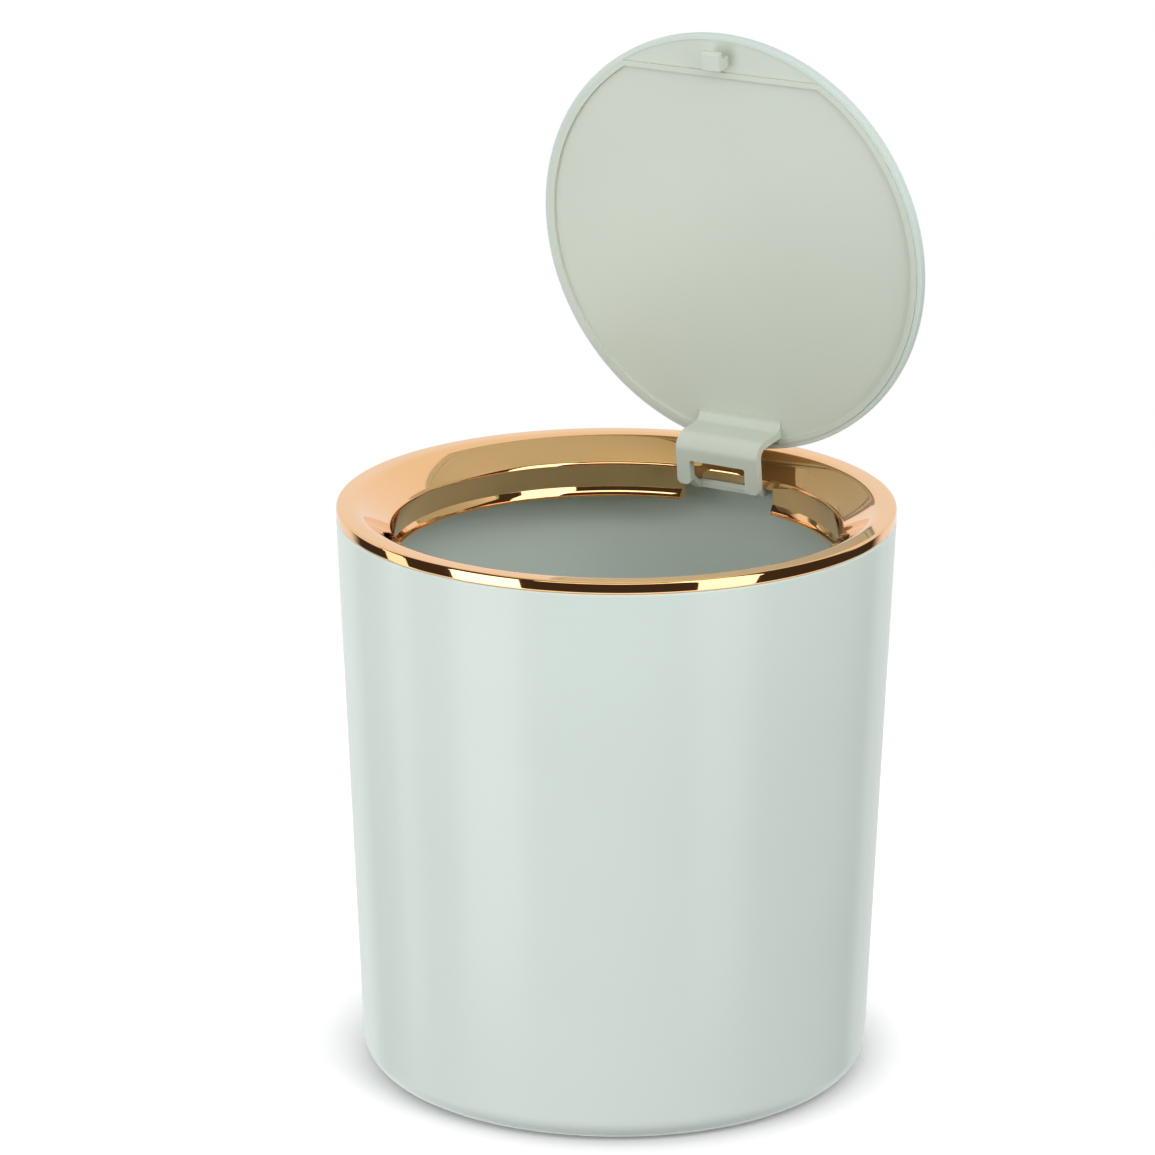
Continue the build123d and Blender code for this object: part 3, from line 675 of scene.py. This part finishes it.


def add_camera():
    """Camera at the photograph's viewing angle and perspective."""
    data = bpy.data.cameras.new("camera")
    data.sensor_width = SENSOR_MM
    data.lens = SENSOR_MM * FOCAL_PIXELS / FRAME_PIXELS
    data.clip_start = CAMERA_NEAREST
    camera = bpy.data.objects.new("camera", data)
    bpy.context.scene.collection.objects.link(camera)
    level_way = -TO_CAMERA * math.cos(CAMERA_YAW) - TO_RIGHT * math.sin(CAMERA_YAW)
    forward = level_way * math.cos(CAMERA_PITCH) - UP * math.sin(CAMERA_PITCH)
    turn = forward.to_track_quat("-Z", "Y").to_matrix().to_4x4()
    place = TO_CAMERA * CAMERA_DISTANCE + UP * CAMERA_HEIGHT
    camera.matrix_world = (
        Matrix.Translation(place) @ turn @ Matrix.Rotation(CAMERA_ROLL, 4, "Z"))
    bpy.context.scene.camera = camera


def add_softbox(name, side, lowest, highest, width, level):
    """An area light that faces the bin, as SOFTBOXES gives it."""
    middle = math.radians((lowest + highest) / 2)
    half = math.radians((highest - lowest) / 2)
    height = 2 * SOFTBOX_DISTANCE * math.tan(half)
    data = bpy.data.lights.new(name, "AREA")
    data.shape = "RECTANGLE"
    data.size = width
    data.size_y = height
    data.energy = level * math.pi * width * height
    lamp = bpy.data.objects.new(name, data)
    bpy.context.scene.collection.objects.link(lamp)
    turn = math.radians(side)
    level_way = TO_CAMERA * math.cos(turn) + TO_RIGHT * math.sin(turn)
    way = level_way * math.cos(middle) + UP * math.sin(middle)
    aim = UP * (CROWN_Z * MM / 2)
    lamp.location = aim + way * SOFTBOX_DISTANCE
    lamp.rotation_euler = way.to_track_quat("Z", "Y").to_euler()


def faded(nodes, links, value, edge):
    """Smooth step of a value from 0 to 1, between the two ends of an edge."""
    step = nodes.new("ShaderNodeMapRange")
    step.interpolation_type = "SMOOTHSTEP"
    step.inputs["From Min"].default_value, step.inputs["From Max"].default_value = edge
    links.new(value, step.inputs["Value"])
    return step.outputs["Result"]


def mixed(nodes, links, factor, first, second):
    """Colour that goes from first to second; each is a colour or a socket."""
    step = nodes.new("ShaderNodeMix")
    step.data_type = "RGBA"
    links.new(factor, step.inputs["Factor"])
    for name, part in (("A", first), ("B", second)):
        if isinstance(part, tuple):
            step.inputs[name].default_value = part
        else:
            links.new(part, step.inputs[name])
    return step.outputs["Result"]


def towards(nodes, links, place, way):
    """How far a direction points one way, from -1 to 1."""
    step = nodes.new("ShaderNodeVectorMath")
    step.operation = "DOT_PRODUCT"
    step.inputs[1].default_value = way
    links.new(place, step.inputs[0])
    return step.outputs["Value"]


def added(nodes, links, colour, level):
    """A colour made lighter by a level."""
    step = nodes.new("ShaderNodeVectorMath")
    step.inputs[1].default_value = (level, level, level)
    links.new(colour, step.inputs[0])
    return step.outputs["Vector"]


def mirrored_studio(nodes, links, place):
    """Colour that mirrors see in a direction."""
    height = towards(nodes, links, place, UP)
    away = towards(nodes, links, place, -TO_CAMERA)
    above = faded(nodes, links, height, BACKDROP_SHOULDER)
    wide = faded(nodes, links, away, BACKDROP_EDGE_WIDE)
    narrow = faded(nodes, links, away, BACKDROP_EDGE_NARROW)
    behind = mixed(nodes, links, above, narrow, wide)
    room = mixed(nodes, links, behind, STUDIO_FRONT, grey(BACKDROP_LEVEL))
    overhead = faded(nodes, links, height, CEILING_EDGE)
    covered = mixed(nodes, links, overhead, room, STUDIO_CEILING)
    table = faded(nodes, links, height, TABLE_EDGE)
    return mixed(nodes, links, table, covered, grey(TABLE_LEVEL))


def room_light(nodes, links, place):
    """Brightness that falls on the bin from a direction."""
    rise = faded(nodes, links, towards(nodes, links, place, UP), ROOM_RISE)
    level = mixed(nodes, links, rise, grey(ROOM_FOOT), grey(ROOM_HEAD))
    for way, more in ((-TO_RIGHT, ROOM_LEFT), (TO_RIGHT, ROOM_RIGHT), (-TO_CAMERA, ROOM_BACK)):
        side = faded(nodes, links, towards(nodes, links, place, way), ROOM_SIDE)
        level = mixed(nodes, links, side, level, added(nodes, links, level, more))
    return level


def add_world():
    """White for the camera, a studio for mirrors, and soft light from all round."""
    world = bpy.data.worlds.new("studio")
    bpy.context.scene.world = world
    world.use_nodes = True
    nodes, links = world.node_tree.nodes, world.node_tree.links
    nodes.clear()
    place = nodes.new("ShaderNodeTexCoord").outputs["Generated"]
    level = room_light(nodes, links, place)
    mirrored = mirrored_studio(nodes, links, place)
    ray = nodes.new("ShaderNodeLightPath")
    lit = mixed(nodes, links, ray.outputs["Is Glossy Ray"], level, mirrored)
    through = mixed(nodes, links, ray.outputs["Is Transmission Ray"], lit, grey(1.0))
    seen = mixed(nodes, links, ray.outputs["Is Camera Ray"], through, grey(1.0))
    shade = nodes.new("ShaderNodeBackground")
    links.new(seen, shade.inputs["Color"])
    out = nodes.new("ShaderNodeOutputWorld")
    links.new(shade.outputs["Background"], out.inputs["Surface"])


def add_floor():
    """White table with the bin's soft shadow, there for the camera alone.

    Its own glow keeps it white, and fades where the bin's foot hides the sky from it: that fade
    is a painted shadow round the foot, laid over the real shadow that the bin casts on it from
    the lamps. The light on the bin comes from the world and the softboxes, so the bin is lit
    evenly down to its foot.
    """
    bm = bmesh.new()
    bmesh.ops.create_circle(bm, cap_ends=True, segments=FLOOR_STEPS, radius=FLOOR_RADIUS)
    floor = new_object("floor", bm)
    material, nodes, links = new_material("floor")
    shader = nodes["Principled BSDF"]
    shader.inputs["Base Color"].default_value = grey(FLOOR_GREY)
    shader.inputs["Roughness"].default_value = FLOOR_ROUGHNESS
    shader.inputs["Specular IOR Level"].default_value = 0.0
    shader.inputs["Emission Color"].default_value = grey(1.0)
    # The glow fades with the ambient occlusion round the bin's foot, which paints a contact
    # shadow on the floor.
    painted_shadow_sky = nodes.new("ShaderNodeAmbientOcclusion")
    painted_shadow_sky.inputs["Distance"].default_value = PAINTED_SHADOW_REACH
    glow = nodes.new("ShaderNodeMapRange")
    glow.inputs["From Min"].default_value = PAINTED_SHADOW_SKY
    glow.inputs["To Max"].default_value = FLOOR_GLOW
    links.new(painted_shadow_sky.outputs["AO"], glow.inputs["Value"])
    links.new(glow.outputs["Result"], shader.inputs["Emission Strength"])
    floor.data.materials.append(material)
    floor.location.z = -FLOOR_DROP
    floor.visible_diffuse = False
    floor.visible_glossy = False
    floor.visible_transmission = False
    floor.visible_shadow = False


add_camera()
add_world()
add_floor()
for softbox in SOFTBOXES:
    add_softbox(*softbox)

scene = bpy.context.scene
scene.view_settings.view_transform = "Standard"
